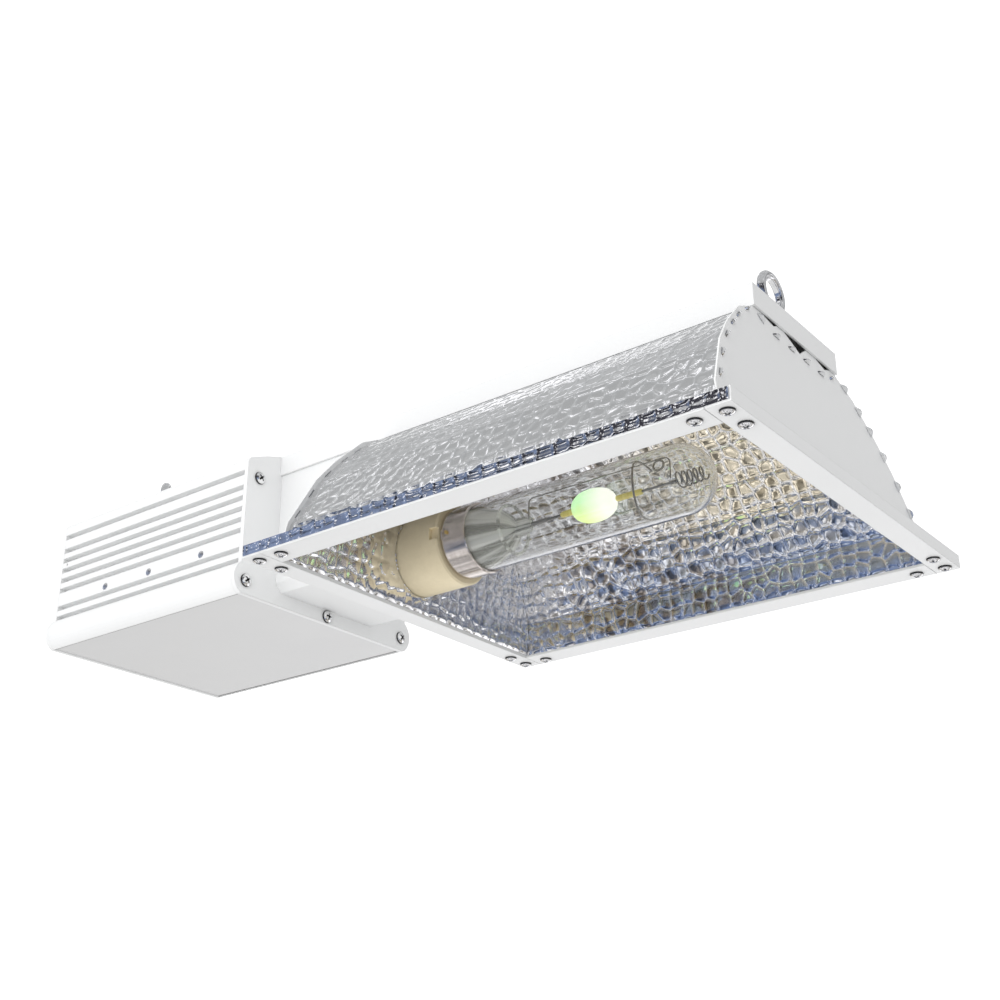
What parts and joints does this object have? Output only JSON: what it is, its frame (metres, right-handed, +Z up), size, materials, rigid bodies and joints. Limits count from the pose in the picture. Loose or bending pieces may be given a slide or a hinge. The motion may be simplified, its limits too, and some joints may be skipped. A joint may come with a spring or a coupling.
{
  "type": "grow lamp",
  "caption": "Hanging horizontal grow lamp with a finned ballast, an open hammered reflector and a tubular twist-lock metal halide lamp.",
  "frame": {"origin": "midway between the centres of the two hanging eyes", "axes": "+X along the lamp from the ballast towards the reflector's free end, +Y across the reflector, +Z up"},
  "size_m": [0.5329, 0.25, 0.1514],
  "materials": {
    "white_powder_coat": "fine satin powder coat",
    "grey_panel": "satin powder coat, light grey",
    "hammered_aluminium": "hammered, bright anodised",
    "zinc_steel": "zinc plated, satin",
    "chrome_steel": "bright nickel plated",
    "plain_aluminium": "mill finish",
    "beige_ceramic": "matt steatite",
    "white_ceramic": "matt",
    "clear_glass": "clear, polished",
    "nickel_shell": "nickel plated, drawn",
    "brass": "bright",
    "lit_arc_tube": "translucent alumina, lit",
    "dark_wire": "drawn wire",
    "board": "solder-masked laminate",
    "black_plastic": "moulded",
    "capacitor_sleeve": "shrink sleeve",
    "copper_winding": "enamelled winding under tape",
    "ferrite": "matt sintered",
    "lead_sleeve": "silicone sleeve"
  },
  "bodies": {
    "fixture": {"ballast_housing": "white_powder_coat", "ballast_bottom_cover": "grey_panel", "ballast_front_plate": "white_powder_coat", "ballast_rear_plate": "white_powder_coat", "front_plate_screws": "zinc_steel", "rear_plate_screws": "zinc_steel", "heat_spreader": "plain_aluminium", "spreader_rivets": "plain_aluminium", "power_transistors": "black_plastic", "ballast_circuit_board": "board", "board_standoffs": "brass", "choke_core": "ferrite", "choke_winding": "copper_winding", "smoothing_capacitors": "capacitor_sleeve", "power_inlet": "black_plastic", "inlet_pins": "brass", "neck_cover": "white_powder_coat", "neck_screws": "zinc_steel", "socket_bracket": "zinc_steel", "bracket_screws": "zinc_steel", "lampholder": "beige_ceramic", "lampholder_contacts": "brass", "lampholder_screws": "zinc_steel", "lampholder_leads": "lead_sleeve", "top_channel": "white_powder_coat", "channel_saddles": "zinc_steel", "channel_rivets": "plain_aluminium", "reflector_sheet": "hammered_aluminium", "far_end_plate": "white_powder_coat", "near_end_plate": "white_powder_coat", "far_end_liner": "hammered_aluminium", "near_end_liner": "hammered_aluminium", "left_rim_bar": "white_powder_coat", "right_rim_bar": "white_powder_coat", "corner_brackets": "zinc_steel", "corner_screws": "zinc_steel", "front_eye_washers": "zinc_steel", "rear_eye_washers": "zinc_steel"},
    "lamp": {"lamp_glass": "clear_glass", "lamp_base_shell": "nickel_shell", "lamp_base_insulator": "white_ceramic", "lamp_pins": "zinc_steel", "base_rivet": "brass", "glass_stem": "clear_glass", "arc_tube": "lit_arc_tube", "arc_tube_leads": "dark_wire", "support_wire": "dark_wire", "end_spring": "dark_wire", "getter": "dark_wire"},
    "front_eye": {"front_hanging_eye": "chrome_steel", "front_eye_nut": "zinc_steel"},
    "rear_eye": {"rear_hanging_eye": "chrome_steel", "rear_eye_nuts": "zinc_steel"}
  },
  "joints": [
    {"name": "lamp_twist", "type": "hinge", "parent": "fixture", "child": "lamp", "pos_m": [0.0305, 0, -0.09575], "axis": [1, 0, 0], "range_deg": [0, 20]},
    {"name": "front_eye_swivel", "type": "hinge", "parent": "fixture", "child": "front_eye", "pos_m": [0.2405, 0, -0.02525], "axis": [0, 0, 1], "continuous": true},
    {"name": "rear_eye_swivel", "type": "hinge", "parent": "fixture", "child": "rear_eye", "pos_m": [-0.2405, 0, -0.02325], "axis": [0, 0, 1], "continuous": true}
  ]
}
